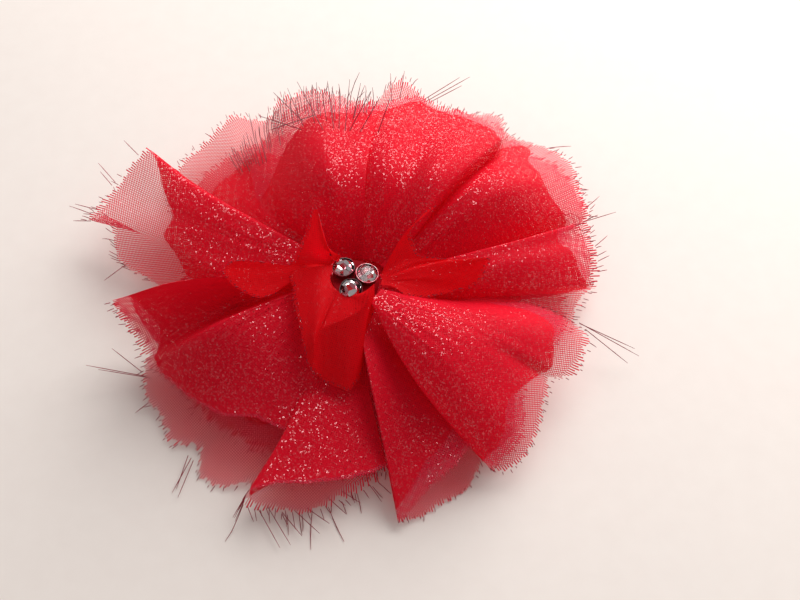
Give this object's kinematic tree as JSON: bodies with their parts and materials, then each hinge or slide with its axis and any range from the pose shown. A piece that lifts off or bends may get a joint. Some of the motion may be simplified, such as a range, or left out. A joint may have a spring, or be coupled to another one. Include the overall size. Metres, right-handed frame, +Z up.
{
  "type": "flower hair clip",
  "caption": "Frayed organza flower with a rhinestone centre on felt, glued to a sprung two-jaw alligator hair clip.",
  "frame": {"origin": "on the table, under the middle of the round organza skirts that the flower stands on", "axes": "+Z up through the flower's face, +X along the clip towards its finger tabs, +Y away from the viewer"},
  "size_m": [0.1, 0.1, 0.0275],
  "materials": {
    "organza": "sheer woven, glittering",
    "chiffon": "matte sheer woven",
    "felt": "matte felt",
    "thread": "spun thread",
    "glue": "cloudy hot glue",
    "clip_steel": "nickel plated",
    "spring_steel": "drawn wire",
    "stone": "faceted, foil backed",
    "setting": "polished"
  },
  "bodies": {
    "flower": {"centre_glue": "glue", "clip_upper_jaw": "clip_steel", "felt_disc": "felt", "felt_strap": "felt", "gather_thread": "thread", "glue_pad": "glue", "hinge_pin": "spring_steel", "inner_petal_back": "chiffon", "inner_petal_front": "chiffon", "inner_petal_left": "chiffon", "inner_petal_right": "chiffon", "petal_back": "organza", "petal_back_left": "organza", "petal_front": "organza", "petal_front_right": "organza", "petal_left": "organza", "petal_left_high": "organza", "petal_right": "organza", "petal_right_back": "organza", "petal_right_low": "organza", "rhinestone_front": "stone", "rhinestone_left": "stone", "rhinestone_right": "stone", "setting_front": "setting", "setting_left": "setting", "setting_right": "setting", "skirt_lower": "organza", "skirt_upper": "organza", "torsion_spring": "spring_steel"},
    "lower_jaw": {"clip_lower_jaw": "clip_steel"}
  },
  "joints": [
    {"name": "jaw_hinge", "type": "hinge", "parent": "flower", "child": "lower_jaw", "pos_m": [0.004, -0.0035, 0.0057], "axis": [0, -1, 0], "range_deg": [0, 24], "stiffness_Nm_per_rad": 0.06, "springref_deg": -34.38, "deforming": ["torsion_spring"]}
  ]
}
